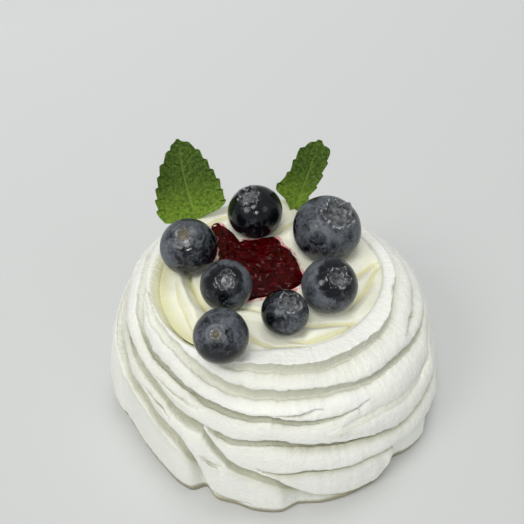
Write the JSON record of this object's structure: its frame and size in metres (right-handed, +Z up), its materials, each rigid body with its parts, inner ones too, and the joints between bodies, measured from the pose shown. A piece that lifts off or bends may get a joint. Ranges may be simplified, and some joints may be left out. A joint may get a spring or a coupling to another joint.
{
  "type": "individual pavlova",
  "caption": "Round piped meringue nest with overlapping spiral ridges, filled with cream and berry jam and topped with blueberries and mint leaves.",
  "frame": {"origin": "middle of the flat underside of the meringue", "axes": "+Z up through the berries, -Y towards the viewer's side, +X to the viewer's right"},
  "size_m": [0.1028, 0.1022, 0.0673],
  "materials": {
    "meringue": "satin white baked meringue",
    "cream": "soft satin pale yellow cream",
    "jam": "wet glossy dark red",
    "blueberry": "dark blue skin with a waxy bloom",
    "mint": "matt green leaf"
  },
  "bodies": {
    "root": {"meringue_nest": "meringue", "cream": "cream", "jam": "jam", "blueberry_back": "blueberry", "blueberry_large": "blueberry", "blueberry_left": "blueberry", "blueberry_middle": "blueberry", "blueberry_front_left": "blueberry", "blueberry_front": "blueberry", "blueberry_right": "blueberry", "mint_leaf_left": "mint", "mint_leaf_right": "mint"}
  },
  "joints": []
}
